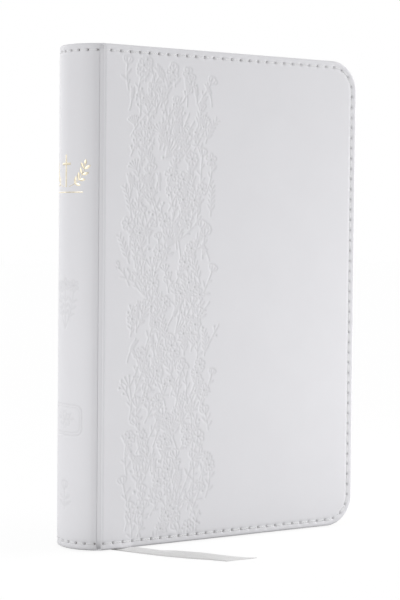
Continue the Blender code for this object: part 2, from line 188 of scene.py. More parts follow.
class Nodes:
    """Short hand for wiring the nodes of one material or world."""

    def __init__(self, owner):
        owner.use_nodes = True
        self.owner = owner
        self.tree = owner.node_tree
        self.shader = self.tree.nodes.get("Principled BSDF")

    def feed(self, socket, value):
        """Sets a socket to a number, a colour or a vector, or links it to another node's output."""
        if isinstance(value, (int, float)):
            socket.default_value = value
        elif isinstance(value, tuple):
            socket.default_value = (*value, 1.0)[:len(socket.default_value)]
        else:
            self.tree.links.new(value, socket)

    def add(self, kind, inputs=None, **settings):
        node = self.tree.nodes.new("ShaderNode" + kind)
        for key, value in settings.items():
            setattr(node, key, value)
        for key, value in (inputs or {}).items():
            self.feed(node.inputs[key], value)
        return node

    def place(self, stretch=(1.0, 1.0, 1.0)):
        """Rest position in metres, which stays with the surface as it bends."""
        source = self.add("Attribute", attribute_name="place").outputs["Vector"]
        return self.add("Mapping", {"Vector": source, "Scale": stretch}).outputs["Vector"]

    def attribute(self, name):
        return self.add("Attribute", attribute_name=name).outputs["Fac"]

    def noise(self, vector, scale, detail, roughness=0.5):
        inputs = {"Vector": vector, "Scale": scale, "Detail": detail, "Roughness": roughness}
        return self.add("TexNoise", inputs).outputs["Fac"]

    def cells(self, vector, scale):
        return self.add("TexVoronoi", {"Vector": vector, "Scale": scale}).outputs["Distance"]

    def wave(self, vector, scale, direction):
        node = self.add("TexWave", {"Vector": vector, "Scale": scale}, bands_direction=direction)
        return node.outputs["Fac"]

    def math(self, operation, a, b=0.0):
        return self.add("Math", {0: a, 1: b}, operation=operation).outputs["Value"]

    def vector_math(self, operation, a, b=(0.0, 0.0, 0.0), output="Vector"):
        return self.add("VectorMath", {0: a, 1: b}, operation=operation).outputs[output]

    def mix(self, factor, a, b):
        return self.add("Mix", {0: factor, 6: a, 7: b}, data_type="RGBA").outputs[2]

    def spread(self, factor, low, high):
        return self.add("MapRange", {"Value": factor, "To Min": low, "To Max": high}).outputs["Result"]

    def bump(self, height, distance, strength):
        inputs = {"Height": height, "Distance": distance, "Strength": strength}
        return self.add("Bump", inputs).outputs["Normal"]

    def ramp(self, factor, low, high):
        """A colour that runs from one to another; each is (position, colour)."""
        node = self.add("ValToRGB", {"Fac": factor})
        for element, (position, colour) in zip(node.color_ramp.elements, (low, high)):
            element.position = position
            element.color = (*colour, 1.0)
        return node.outputs["Color"]

    def set(self, **inputs):
        """Feeds the main shader and gives back the finished material."""
        for name, value in inputs.items():
            self.feed(self.shader.inputs[name.replace("_", " ")], value)
        return self.owner


def new_material(name):
    return Nodes(bpy.data.materials.new(name))


def leather_material():
    """Soft white imitation leather: fine pebbled grain, faint clouding, painted shade in the pressed lines
    and dark brownish painted shade in the needle holes.
    """
    n = new_material("soft_white_leather")
    place = n.place()
    fine = n.noise(place, 900.0, 4.0, 0.6)
    clouds = n.noise(place, 55.0, 2.0)
    colour = n.ramp(clouds, (0.25, (0.750, 0.746, 0.772)), (0.75, (0.766, 0.762, 0.788)))
    colour = n.mix(n.spread(fine, 0.0, 0.12), colour, (0.66, 0.66, 0.68))
    # Pressed lines and dots darken with their depth (press): painted shade in the pressed grooves
    colour = n.mix(n.math("MULTIPLY", n.attribute("press"), 0.5), colour, (0.30, 0.29, 0.29))
    # The needle holes (pit) get a dark brownish painted shade
    colour = n.mix(n.attribute("pit"), colour, (0.09, 0.075, 0.07))
    grain = n.math("ADD", n.cells(place, 1500.0), n.math("MULTIPLY", fine, 0.6))
    return n.set(Base_Color=colour, Roughness=n.spread(fine, 0.42, 0.56),
                 Normal=n.bump(grain, 0.03 * MM, 0.35),
                 Specular_IOR_Level=0.38, Sheen_Weight=0.08, Sheen_Roughness=0.4)


def thread_material():
    n = new_material("white_thread")
    fibre = n.noise(n.place(), 3500.0, 3.0, 0.7)
    return n.set(Base_Color=n.mix(fibre, (0.88, 0.88, 0.89), (0.78, 0.78, 0.79)), Roughness=0.62,
                 Sheen_Weight=0.3, Normal=n.bump(fibre, 0.03 * MM, 0.4))


def paper_material(name, colour, shade, roughness=0.75):
    """Thin book paper: a soft cloud of fibres."""
    n = new_material(name)
    place = n.place()
    fibre = n.noise(place, 1400.0, 5.0, 0.65)
    both = n.math("ADD", fibre, n.noise(place, 90.0, 2.0))
    tint = n.mix(n.math("MULTIPLY", both, 0.5), colour, shade)
    return n.set(Base_Color=tint, Roughness=roughness, Normal=n.bump(fibre, 0.02 * MM, 0.3))


def gilt_material():
    """Trimmed page edges with a thin pale gold gilding; each leaf shows as a fine line."""
    n = new_material("gilt_page_edge")
    leaves = n.noise(n.place((60.0, 7500.0, 60.0)), 1.0, 2.0, 0.8)
    patches = n.noise(n.place(), 160.0, 3.0)
    gold = n.ramp(leaves, (0.30, (0.56, 0.46, 0.29)), (0.75, (0.92, 0.85, 0.67)))
    colour = n.mix(n.spread(patches, 0.0, 0.35), gold, (0.86, 0.80, 0.66))
    return n.set(Base_Color=colour, Metallic=0.55, Roughness=n.spread(leaves, 0.30, 0.5),
                 Normal=n.bump(leaves, 0.04 * MM, 0.5))


def foil_material():
    n = new_material("champagne_foil")
    crinkle = n.noise(n.place(), 420.0, 3.0)
    colour = n.ramp(crinkle, (0.3, (0.50, 0.45, 0.34)), (0.7, (0.74, 0.67, 0.52)))
    return n.set(Base_Color=colour, Metallic=0.9, Roughness=n.spread(crinkle, 0.22, 0.42),
                 Normal=n.bump(crinkle, 0.03 * MM, 0.4))


def satin_material():
    """Satin ribbon: long floats along the ribbon, a fine weft rib across it, woven edges."""
    n = new_material("ribbon_satin")
    across = n.attribute("across")
    cloth = n.add("CombineXYZ", {"X": across, "Y": n.attribute("along")}).outputs["Vector"]
    floats = n.noise(cloth, 2600.0, 2.0)
    edge = n.math("GREATER_THAN", n.math("ABSOLUTE", across), 2.9 * MM)
    colour = n.ramp(floats, (0.3, (0.70, 0.695, 0.69)), (0.7, (0.81, 0.805, 0.80)))
    height = n.math("ADD", n.math("MULTIPLY", n.wave(cloth, 900.0, "Y"), 0.6), floats)
    return n.set(Base_Color=n.mix(edge, colour, (0.64, 0.635, 0.63)), Roughness=0.36,
                 Anisotropic=0.5, Sheen_Weight=0.35, Normal=n.bump(height, 0.02 * MM, 0.5))


def band_material():
    """Woven head band: pale and grey threads take turns round the bead."""
    n = new_material("striped_band")
    turn = n.math("SINE", n.math("MULTIPLY", n.attribute("along"), math.tau / (1.1 * MM)))
    fibre = n.noise(n.place(), 3000.0, 3.0)
    pale = n.mix(fibre, (0.86, 0.85, 0.83), (0.74, 0.73, 0.71))
    dark = n.mix(fibre, (0.60, 0.58, 0.56), (0.50, 0.49, 0.48))
    return n.set(Base_Color=n.mix(n.math("GREATER_THAN", turn, 0.0), pale, dark), Roughness=0.6,
                 Sheen_Weight=0.3, Normal=n.bump(fibre, 0.03 * MM, 0.4))


def hidden_material(name, colour, shade, scale):
    """For CAD nodes that stay as they are: grain taken from object space."""
    n = new_material(name)
    grain = n.noise(n.add("TexCoord").outputs["Object"], scale, 4.0, 0.6)
    return n.set(Base_Color=n.mix(grain, colour, shade), Roughness=0.82, Normal=n.bump(grain, 0.05 * MM, 0.5))


def mull_material():
    """Open weave cotton: crossed bands from object space."""
    n = new_material("mull_weave")
    place = n.add("TexCoord").outputs["Object"]
    weave = n.math("MAXIMUM", n.wave(place, 320.0, "Y"), n.wave(place, 320.0, "Z"))
    return n.set(Base_Color=n.ramp(weave, (0.3, (0.55, 0.52, 0.46)), (0.8, (0.88, 0.86, 0.80))),
                 Roughness=0.9, Normal=n.bump(weave, 0.1 * MM, 0.6))


# ---------------------------------------------------------------- meshes

class Shape:
    """Collects points and faces of one piece, with values carried by each point."""

    def __init__(self, name):
        self.name = name
        self.points = []
        self.values = {}
        self.faces = []
        self.slots = []
        self.flat = []
        self.count = 0

    def add(self, points, faces, slot=0, flat=False, **values):
        points = np.asarray(points, float).reshape(-1, 3)
        self.points.append(points)
        for key in set(self.values) | set(values):
            filled = np.asarray(values.get(key, np.zeros(len(points))), float).ravel()
            self.values.setdefault(key, [np.zeros(self.count)]).append(filled)
        self.faces += [[index + self.count for index in face] for face in faces]
        self.slots += [slot] * len(faces)
        self.flat += [flat] * len(faces)
        self.count += len(points)

    def grid(self, points, slot=0, closed=False, **values):
        """Quads over rows and columns of points; closed joins the last column to the first."""
        points = np.asarray(points, float)
        rows, columns = points.shape[:2]
        index = np.arange(rows * columns).reshape(rows, columns)
        if closed:
            index = np.hstack([index, index[:, :1]])
        quads = np.stack([index[:-1, :-1], index[:-1, 1:], index[1:, 1:], index[1:, :-1]], axis=-1)
        self.add(points, quads.reshape(-1, 4).tolist(), slot, **values)

    def polygon(self, points):
        self.add(points, [list(range(len(points)))], flat=True)

    def tube(self, rings, **values):
        """A skin over closed rings of points, with both ends filled."""
        self.grid(rings, closed=True, **values)
        self.polygon(rings[0])
        self.polygon(rings[-1])

    def build(self, materials, weld=0.005 * MM, sharp=None):
        """Makes the object; points closer than weld become one, and edges over sharp degrees stay sharp."""
        mesh = bpy.data.meshes.new(self.name)
        mesh.from_pydata(np.concatenate(self.points).tolist(), [], self.faces)
        for material in materials:
            mesh.materials.append(material)
        mesh.polygons.foreach_set("material_index", self.slots)
        mesh.polygons.foreach_set("use_smooth", [not flat for flat in self.flat])
        for key, parts in self.values.items():
            attribute = mesh.attributes.new(key, "FLOAT", "POINT")
            attribute.data.foreach_set("value", np.concatenate(parts).astype(np.float32))
        work = bmesh.new()
        work.from_mesh(mesh)
        if weld:
            bmesh.ops.remove_doubles(work, verts=work.verts, dist=weld)
            bmesh.ops.dissolve_degenerate(work, dist=weld, edges=work.edges)
        bmesh.ops.recalc_face_normals(work, faces=work.faces)
        work.to_mesh(mesh)
        work.free()
        if sharp:
            mesh.set_sharp_from_angle(angle=math.radians(sharp))
        remember_place(mesh)
        return add_object(self.name, mesh)


def remember_place(mesh):
    """Stores the rest position, which the materials read, so that grain moves with the surface."""
    where = np.zeros(len(mesh.vertices) * 3, np.float32)
    mesh.vertices.foreach_get("co", where)
    mesh.attributes.new("place", "FLOAT_VECTOR", "POINT").data.foreach_set("vector", where)


def finish(shape, materials, slot, replaces=(), body=None, blend=None, **mesh):
    """Builds a shape and hides the CAD nodes it replaces; hangs it on a body's empty, or, when a blend is
    given, only bakes its transform.
    """
    piece = shape.build(materials, **mesh)
    if replaces:
        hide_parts(*replaces)
    if blend:
        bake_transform(piece)
    else:
        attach(piece, body)


# ---------------------------------------------------------------- pressed patterns

class Relief:
    """A height map over a rectangle, into which lines and dots are pressed."""

    def __init__(self, low_u, high_u, low_v, high_v, step):
        self.u = np.linspace(low_u, high_u, int(round((high_u - low_u) / step)) + 1)
        self.v = np.linspace(low_v, high_v, int(round((high_v - low_v) / step)) + 1)
        self.depth = np.zeros((len(self.v), len(self.u)))

    def patch(self, a, b, reach):
        """The part of the map within reach of the box from a to b, and its (u, v) seen from a."""
        low, high = np.minimum(a, b) - reach, np.maximum(a, b) + reach
        u = slice(*np.searchsorted(self.u, (low[0], high[0])))
        v = slice(*np.searchsorted(self.v, (low[1], high[1])))
        return self.depth[v, u], self.u[None, u] - a[0], self.v[v, None] - a[1]

    def line(self, points, width, depth):
        """A groove with rounded walls along the points; width is where it is 37 % deep."""
        points = np.asarray(points, float)
        for a, b in zip(points[:-1], points[1:]):
            patch, du, dv = self.patch(a, b, 2.2 * width)
            if patch.size:
                u, v = b - a
                t = np.clip((du * u + dv * v) / max(u ** 2 + v ** 2, 1e-12), 0, 1)
                gap = (du - t * u) ** 2 + (dv - t * v) ** 2
                np.maximum(patch, depth * np.exp(-gap / width ** 2), out=patch)

    def clear(self, centre, heading, half_length, half_width):
        """Smooths away what lies inside an ellipse, so that what is drawn there stands in front."""
        patch, du, dv = self.patch(centre, centre, max(half_length, half_width))
        forward = towards(heading)
        along = du * forward[0] + dv * forward[1]
        across = du * forward[1] - dv * forward[0]
        gap = (along / half_length) ** 2 + (across / half_width) ** 2
        patch *= smooth((gap - 0.7) / 0.5)

    def at(self, u, v):
        """Depth at any point, zero outside the rectangle."""
        fu = np.interp(u, self.u, np.arange(len(self.u)), left=-1, right=-1)
        fv = np.interp(v, self.v, np.arange(len(self.v)), left=-1, right=-1)
        iu = np.clip(fu.astype(int), 0, len(self.u) - 2)
        iv = np.clip(fv.astype(int), 0, len(self.v) - 2)
        tu, tv = fu - iu, fv - iv
        d = self.depth
        value = ((1 - tu) * (1 - tv) * d[iv, iu] + tu * (1 - tv) * d[iv, iu + 1]
                 + (1 - tu) * tv * d[iv + 1, iu] + tu * tv * d[iv + 1, iu + 1])
        return np.where((fu >= 0) & (fv >= 0), value, 0.0)


class Meadow:
    """Line drawings of wild flowers and grasses, pressed into a relief; lengths are in millimetres."""

    LINE, STALK, FINE = 0.42, 0.36, 0.32     # widths of the lines

    def __init__(self, relief, seed, depth=0.17):
        self.relief = relief
        self.random = np.random.default_rng(seed)
        self.depth = depth

    def press(self, points, width=LINE, depth=None):
        self.relief.line(np.asarray(points) * MM, width * MM, (depth or self.depth) * MM)

    def dot(self, point, radius=0.5, depth=0.42):
        self.press([point, point], radius, depth)

    def stem(self, start, heading, length, bend, steps=14):
        """A stalk whose heading turns evenly by bend; gives its points and headings."""
        turn = heading + bend * np.linspace(0, 1, steps)
        hops = towards(turn[:-1]) * length / (steps - 1)
        return np.vstack([start, np.asarray(start) + np.cumsum(hops, axis=0)]), turn

    def petal(self, centre, heading, length, width, gap=0.5):
        """A closed loop that leaves the centre and comes back to it, in front of what is there."""
        forward = towards(heading)
        right = np.array([forward[1], -forward[0]])
        middle = np.asarray(centre) + (gap + length / 2) * forward
        self.relief.clear(middle * MM, heading, (length / 2 + 0.2) * MM, (width + 0.25) * MM)
        t = np.linspace(0, 1, 10)
        along = gap + length * np.sin(np.pi * t / 2)
        side = width * np.sin(np.pi * t) ** 0.8
        out = np.concatenate([along, along[::-1]])
        offset = np.concatenate([side, -side[::-1]])
        self.press(np.asarray(centre) + out[:, None] * forward + offset[:, None] * right)

    def daisy(self, centre, radius, petals):
        first = self.random.uniform(0, math.tau)
        for k in range(petals):
            self.petal(centre, first + math.tau * k / petals, radius, radius * 0.32)
        self.dot(centre, 0.6, 0.44)

    def cup(self, centre, heading, size):
        """A flower seen from the side: three petals and a calyx."""
        for spread in (-0.5, 0.5, 0.0):
            self.petal(centre, heading + spread, size, size * 0.28, gap=0.1)
        self.dot(centre, 0.45, 0.34)

    def umbel(self, centre, heading, size, rays):
        for spread in np.linspace(-0.8, 0.8, rays):
            points, _ = self.stem(centre, heading + spread, size, -0.25 * spread, 5)
            self.press(points, self.FINE)
            self.dot(points[-1], 0.5, 0.26)

    def leaf(self, point, heading, length):
        """A pressed blade, widest in the middle."""
        point = np.asarray(point)
        forward = towards(heading) * length
        self.press([point, point + forward], self.FINE)
        self.press([point + 0.3 * forward, point + 0.75 * forward], 0.15 * length + 0.1)

    def leaves(self, points, headings, steps, turn, length):
        """Pairs of leaves, left and right of some points of a stalk."""
        for k in steps:
            for side in (-1, 1):
                self.leaf(points[k], headings[k] + side * turn, length)

    def spikelet(self, points, headings):
        """Small seeds left and right along the upper part of a stalk."""
        for k in range(len(points) // 2, len(points)):
            for side in (-1, 1):
                tip = points[k] + 1.3 * towards(headings[k] + side * 0.6)
                self.press([points[k], tip], self.FINE)

    def berries(self, points, headings):
        for k in range(4, len(points), 3):
            side = 1 if k % 2 else -1
            tip = points[k] + 2.4 * towards(headings[k] + side * 0.7)
            self.press([points[k], tip], self.FINE)
            self.dot(tip, 0.55, 0.28)

    def fan(self, start, leans, length):
        """Blades that rise from one foot, each with its own lean, with small leaves and a seed."""
        for lean in leans:
            points, headings = self.stem(start, lean, length * self.random.uniform(0.6, 1.0), -0.4 * lean)
            self.press(points, self.STALK)
            for k in range(5, len(points) - 1, 2):
                side = 1 if (k // 2) % 2 else -1
                self.leaf(points[k], headings[k] + 0.5 * side, self.random.uniform(1.8, 2.8))
            self.leaf(points[-1], headings[-1], 2.8)

    def fern(self, points, headings):
        """Pairs of leaves that shorten towards the tip."""
        for k in range(3, len(points), 3):
            self.leaves(points, headings, (k,), 0.6, 3.4 - 1.4 * k / len(points))

    def plant(self, start, length, kind):
        pick = self.random.uniform
        points, headings = self.stem(start, pick(-0.40, 0.60), length, pick(-0.7, 0.5), 16)
        self.press(points, self.STALK)
        tip, heading = points[-1], headings[-1]
        if kind in ("daisy", "cup", "umbel"):
            for k in range(3, len(points) - 4, 3):
                side = 1 if (k // 3) % 2 else -1
                self.leaf(points[k], headings[k] + side * pick(0.5, 1.0), pick(2.2, 4.0))
        if kind == "daisy":
            self.daisy(tip, pick(1.8, 2.7), int(self.random.integers(5, 8)))
        elif kind == "cup":
            self.cup(tip, heading, pick(2.6, 3.8))
        elif kind == "umbel":
            self.umbel(tip, heading, pick(3.0, 4.8), int(self.random.integers(4, 7)))
        elif kind == "spike":
            self.spikelet(points, headings)
        elif kind == "fern":
            self.fern(points, headings)
        else:
            self.berries(points, headings)


def front_meadow():
    """Tier below tier of plants from head to tail, with a ragged edge towards the fore-edge."""
    margin = 3.2 * MM
    relief = Relief(BAND_LOW_X, BAND_HIGH_X, margin, HEIGHT - margin, BAND_GRID)
    meadow = Meadow(relief, seed=11)
    pick = meadow.random.uniform
    low, high = BAND_LOW_X / MM + 5.0, BAND_HIGH_X / MM - 2.0
    top = HEIGHT / MM - 5.0
    kinds = ("daisy", "cup", "umbel", "fern", "berries", "daisy", "cup", "cup", "spike")
    tiers, per_tier = 21, 12
    for tier in reversed(range(tiers)):
        foot = 2.0 + (top - 16.0) * tier / (tiers - 1)
        edge = high - 5.0 - 3.0 * math.sin(1.9 * tier + 0.6)
        for k in range(per_tier):
            x = low + (edge - low) * (k + pick(0.1, 0.9)) / per_tier
            z = foot + pick(-6.0, 5.0)
            length = min(pick(6.0, 15.0), top - z)
            if length > 4.0:
                meadow.plant((x, z), length, kinds[int(meadow.random.integers(len(kinds)))])
        if tier % 4 == 1:
            leans = np.linspace(0.25, 1.15, 5)
            meadow.fan((edge - pick(17.0, 22.0), foot + pick(-2.0, 2.0)), leans, min(22.0, top - foot))
        elif tier % 4 == 3:
            meadow.fan((low + pick(8.0, 18.0), foot), np.linspace(-0.8, 0.5, 4), min(13.0, top - foot))
        for _ in range(3):
            meadow.dot((pick(low, edge + 4.0), foot + pick(0.0, 13.0)), pick(0.5, 0.65), pick(0.24, 0.4))
    from_end = np.minimum(relief.v, HEIGHT - relief.v)
    relief.depth *= smooth((from_end - 3.4 * MM) / MM)[:, None]
    return relief


# ---------------------------------------------------------------- cover skins

def joint_groove(x, depth):
    """How far the leather is pressed into the joint at x, fading out below the face."""
    off = x - GROOVE_X
    across = np.clip(np.where(off < 0, off / GROOVE_TO_SPINE, off / GROOVE_TO_COVER), -1, 1)
    return GROOVE_DEPTH * np.cos(np.pi / 2 * across) ** 2 * np.clip(1 - depth / SKIN_WALL, 0, 1)


def joint_line(x):
    """Depth of the outer face along the cover, and the inward direction, from spine arc to flat."""
    rise = np.sqrt(np.maximum(SPINE_RADIUS ** 2 - (SPINE_CENTRE_X - x) ** 2, 1e-12))
    past_hinge = x - HINGE_X
    depth = (OUTER_Y - rise) * (1 - smooth((past_hinge + 1.2 * MM) / (2.4 * MM)))
    turn = smooth((past_hinge + 1.6 * MM) / (3.6 * MM))
    cosine = np.clip((SPINE_CENTRE_X - x) / SPINE_RADIUS, 0, 1) * (1 - turn)
    return depth, cosine, np.sqrt(1 - cosine ** 2)


def cover_points(side, x, z, depth):
    """Points of a cover from where they are in its outline and how deep under its face."""
    x, z, depth = np.broadcast_arrays(x, z, depth)
    face, inward_x, inward_y = joint_line(x)
    depth = depth + joint_groove(x, depth)
    return np.stack([x + inward_x * depth, side * (OUTER_Y - face - inward_y * depth), z], axis=-1)


def inner_corner(depth):
    """The rounded corner between the turned-in lip and the edge."""
    return [(0.6 * MM, depth), (0.3 * MM, depth - 0.08 * MM), (0.1 * MM, depth - 0.28 * MM),
            (0.0, depth - 0.6 * MM)]


def outer_rows():
    """The rolled edge, then the face: close rows beside the stitching, wider ones away from it."""
    roll = [(EDGE_ROLL * (1 - math.sin(a)), EDGE_ROLL * (1 - math.cos(a)))
            for a in np.radians([90, 72, 54, 38, 24, 11])]
    insets = (0.95, 1.35, 1.75, 2.1, 2.35, 2.55, 2.72, 2.9, 3.08, 3.25, 3.45, 3.7, 4.05, 4.5, 5.0)
    return roll + [(inset * MM, 0.0) for inset in insets]


def edge_profile():
    """Section of a cover's free edge as (inset, depth): inside of the skin, lip, edge, outer face."""
    inner = [(FIELD_INSET, SKIN_WALL), (POCKET_INSET, SKIN_WALL), (POCKET_INSET, LIP_DEPTH),
             (LIP_WIDTH, LIP_DEPTH), (LIP_WIDTH, COVER_DEPTH), (7 * MM, COVER_DEPTH), (3 * MM, COVER_DEPTH)]
    return inner + inner_corner(COVER_DEPTH) + outer_rows()


def seam_relief(s, inset, holes):
    """Depth of the stitched channel with its needle holes, and how much painted shade each point gets in the
    holes.
    """
    window = smooth((FIELD_INSET - inset) / (1.2 * MM)) * smooth(inset / (0.9 * MM))
    across = inset - STITCH_INSET
    nearest = np.min(np.abs(s[:, None] - holes), axis=1)
    channel = CHANNEL_DEPTH * np.exp(-(across / CHANNEL_WIDTH) ** 2)
    pucker = PUCKER_DEPTH * np.exp(-(nearest / PUCKER_WIDTH) ** 2 - (across / PUCKER_WIDTH) ** 2)
    pit = np.exp(-(nearest / HOLE_LENGTH) ** 2 - (across / HOLE_WIDTH) ** 2)
    return window * (channel + pucker) + HOLE_DEPTH * pit, pit


def cover_columns():
    """Places of points along X, from the spine seam to the fore-edge corner, in four stretches."""
    stops = (SEAM_X, FLAT_X, BAND_LOW_X, BAND_HIGH_X, CORNER_X)
    steps = (GRID, GRID, BAND_GRID, GRID)
    return [np.linspace(a, b, int(round((b - a) / step)) + 1) for a, b, step in zip(stops, stops[1:], steps)]


class EdgePath:
    """The way along the three free edges of a cover, from the seam at the tail to the seam at the head."""

    def __init__(self):
        self.columns = cover_columns()
        along_x = np.concatenate([self.columns[0]] + [part[1:] for part in self.columns[1:]])
        low, high = CORNER, HEIGHT - CORNER
        along_z = np.linspace(low, high, int((high - low) / GRID) + 1)
        turn = np.radians(np.linspace(0, 90, int(CORNER * math.pi / 2 / GRID) + 1))
        # Each stretch as (x, z) of a point CORNER inside the edge, and (x, z) of the way out from it
        parts = ((along_x, low, 0, -1), (CORNER_X, low, np.sin(turn), -np.cos(turn)),
                 (CORNER_X, along_z, 1, 0), (CORNER_X, high, np.cos(turn), np.sin(turn)),
                 (along_x[::-1], high, 0, 1))
        rows = [np.column_stack(np.broadcast_arrays(*part)) for part in parts]
        merged = np.concatenate([rows[0]] + [row[1:] for row in rows[1:]])
        self.centre, self.out = merged[:, :2], merged[:, 2:]
        self.s = run_length(self.at(STITCH_INSET))

    def at(self, inset):
        """(x, z) all along the path at a distance from the edge."""
        return self.centre + (CORNER - inset) * self.out


def even_holes(length):
    """Where a cover's needle holes are along its seam, from the tail round to the head."""
    first, last = TAIL_FIRST_HOLE, length - HEAD_FIRST_HOLE
    return np.linspace(first, last, int(round((last - first) / STITCH_PITCH)) + 1)


def straight(x, z):
    """Points (x, z) along a line on which one of the two stays the same."""
    return np.column_stack(np.broadcast_arrays(x, z))


def stitched_edge(shape, side, path, holes, relief):
    """The strip of a cover from inside its lip round the edge to the face; gives its points."""
    profile = edge_profile()
    strip = np.zeros((len(profile), len(path.s), 3))
    dark, pressed = np.zeros(strip.shape[:2]), np.zeros(strip.shape[:2])
    for row, (inset, depth) in enumerate(profile):
        x, z = path.at(inset).T
        sunk = depth
        if depth < STITCHED_DEPTH:
            extra, pit = seam_relief(path.s, inset, holes)
            # The painted shade in the holes grows paler away from the spine
            dark[row] = pit * (1 - 0.6 * smooth((x - 60 * MM) / (70 * MM)))
            if relief:
                pressed[row] = relief.at(x, z)
            sunk = depth + extra + pressed[row]
        strip[row] = cover_points(side, x, z, sunk)
    shape.grid(strip, pit=dark, press=pressed / MM)
    return strip


def cover_skin(side, name, path, holes, relief=None):
    """One cover's leather as a closed shell: face, stitched edge, rolled edge and turned-in lip."""
    shape = Shape(name)
    strip = stitched_edge(shape, side, path, holes, relief)
    low, high = FIELD_INSET, HEIGHT - FIELD_INSET
    joint, near, band, far = path.columns
    rows = np.linspace(low, high, int((high - low) / (4 * MM)) + 1)
    shape.grid(cover_points(side, joint, rows[:, None], 0.0))
    edge = path.at(FIELD_INSET)
    from_near = edge[len(joint) - 1:len(edge) - len(joint) + 1]
    down_near = straight(near[0], rows[::-1][1:-1])
    if relief:
        band_rows = np.linspace(low, high, int((high - low) / BAND_GRID) + 1)
        x, z = np.meshgrid(band, band_rows)
        sunk = relief.at(x, z)
        shape.grid(cover_points(side, x, z, sunk), press=sunk / MM)
        start_far = len(joint) + len(near) + len(band) - 3
        from_far = edge[start_far:len(edge) - start_far]
        fill_flat(shape, side, np.concatenate([straight(near, low), straight(near[-1], band_rows[1:]),
                                               straight(near[::-1][1:], high), down_near]))
        fill_flat(shape, side, np.concatenate([from_far, straight(far[0], band_rows[::-1][1:-1])]))
    else:
        fill_flat(shape, side, np.concatenate([from_near, down_near]))

    # Inside of the skin: a strip through the joint, then one flat face, and the cut end at the seam
    shape.grid(cover_points(side, joint, np.array([[low], [high]]), SKIN_WALL))
    shape.polygon(cover_points(side, *from_near.T, SKIN_WALL))
    seam = cover_points(side, SEAM_X, rows[1:-1], 0.0)
    shape.polygon(np.concatenate([strip[:, 0], seam, strip[::-1, -1]]))
    return shape


def fill_flat(shape, side, loop, step=5.0 * MM):
    """Triangles over a flat part of the face, coarse in the middle."""
    low, high = loop.min(axis=0), loop.max(axis=0)
    xs = np.arange(low[0] + step / 2, high[0] - step / 3, step)
    zs = np.arange(low[1] + step / 2, high[1] - step / 3, step)
    inner = np.array([(x, z) for x in xs for z in zs]).reshape(-1, 2)
    for centre_z, sign in ((CORNER, -1), (HEIGHT - CORNER, 1)):
        away = inner - [CORNER_X, centre_z]
        far = np.linalg.norm(away, axis=1) > CORNER - FIELD_INSET - step / 3
        inner = inner[~(far & (away[:, 0] > 0) & (sign * away[:, 1] > 0))]
    flat = np.concatenate([loop, inner])
    points = [Vector(p) for p in flat / MM]
    made, _, faces, origin, _, _ = geometry.delaunay_2d_cdt(points, [], [list(range(len(loop)))], 1, 1e-6)
    where = np.array([flat[source[0]] if source else np.array(point) * MM
                      for point, source in zip(made, origin)])
    shape.add(cover_points(side, *where.T, 0.0), [list(face) for face in faces])


# ---------------------------------------------------------------- stitches

def lifted(points_at, *where, step=MM):
    """Points of a skin's face, and the direction out of it, from the points one step below."""
    points = points_at(*where, 0.0)
    return points, (points - points_at(*where, step)) / step


def cover_seam(side, path):
    """Distance along a cover's seam, its points and its outward directions."""
    return path.s, *lifted(cover_points, side, *path.at(STITCH_INSET).T)


def joint_seam(side, at_tail, path):
    """The run from the spine's last needle hole over the joint to the cover's first one."""
    z = STITCH_INSET if at_tail else HEIGHT - STITCH_INSET
    angle = side * np.linspace(spine_holes()[-1] / SPINE_RADIUS, SPINE_END, 12)
    points, outward = lifted(spine_points, angle, z, step=0.3 * MM)
    s, cover, cover_out = cover_seam(side, path)
    near = s <= TAIL_FIRST_HOLE if at_tail else s >= s[-1] - HEAD_FIRST_HOLE
    order = 1 if at_tail else -1
    points = np.concatenate([points[:-1], cover[near][::order]])
    outward = np.concatenate([outward[:-1], cover_out[near][::order]])
    return run_length(points), points, unit(outward)


def stitch_threads(shape, s, points, outward, holes):
    """Two-ply stitches that rise from one needle hole and dive into the next."""
    forward = unit(np.gradient(points, s, axis=0))
    course = np.hstack([points, outward, np.cross(outward, forward)])
    t = np.linspace(0, 1, 17)
    ring = np.linspace(0, math.tau, 6, endpoint=False)[None, :, None]
    lift = -STITCH_SUNK - STITCH_DIP * np.abs(2 * t - 1) ** 7
    for start, end in zip(holes[:-1], holes[1:]):
        along = start + STITCH_GAP + (end - start - 2 * STITCH_GAP) * t
        here = np.column_stack([np.interp(along, s, values) for values in course.T])
        middle, out, across = here[:, :3], here[:, 3:6], here[:, 6:]
        middle = middle + out * lift[:, None]
        for ply in (0.0, math.pi):
            angle = (ply + math.tau * PLY_TURNS * t)[:, None]
            centre = middle + PLY_OFFSET * (np.cos(angle) * across + np.sin(angle) * out)
            shape.tube(centre[:, None] + PLY_RADIUS * (np.cos(ring) * across[:, None]
                                                       + np.sin(ring) * out[:, None]))


# ---------------------------------------------------------------- spine

def spine_points(angle, z, depth):
    angle, z, depth = np.broadcast_arrays(angle, z, depth)
    depth = depth + joint_groove(SPINE_CENTRE_X - SPINE_RADIUS * np.cos(angle), depth)
    reach = SPINE_RADIUS - depth
    return np.stack([SPINE_CENTRE_X - reach * np.cos(angle), reach * np.sin(angle), z], axis=-1)


def spine_profile():
    """Section of the spine's end as (distance from the end, depth)."""
    flap_top = SPINE_FLAP_DEPTH - SPINE_FLAP
    inner = [(POCKET_INSET, SPINE_WALL), (POCKET_INSET, flap_top), (SPINE_FLAP_LENGTH, flap_top),
             (SPINE_FLAP_LENGTH, SPINE_FLAP_DEPTH), (6 * MM, SPINE_FLAP_DEPTH)]
    return inner + inner_corner(SPINE_FLAP_DEPTH) + outer_rows()


def press_posy(pen):
    for lean, length, petals in ((0.34, 18.5, 6), (0.0, 19.0, 5), (-0.36, 19.5, 6)):
        stalk, headings = pen.stem((EMBLEM_S, 95.5), 1.5 * lean, length, -1.6 * lean)
        pen.press(stalk, 0.3)
        pen.leaves(stalk, headings, (4, 6, 8), 0.8, 3.0)
        pen.daisy(stalk[-1], 2.1, petals)


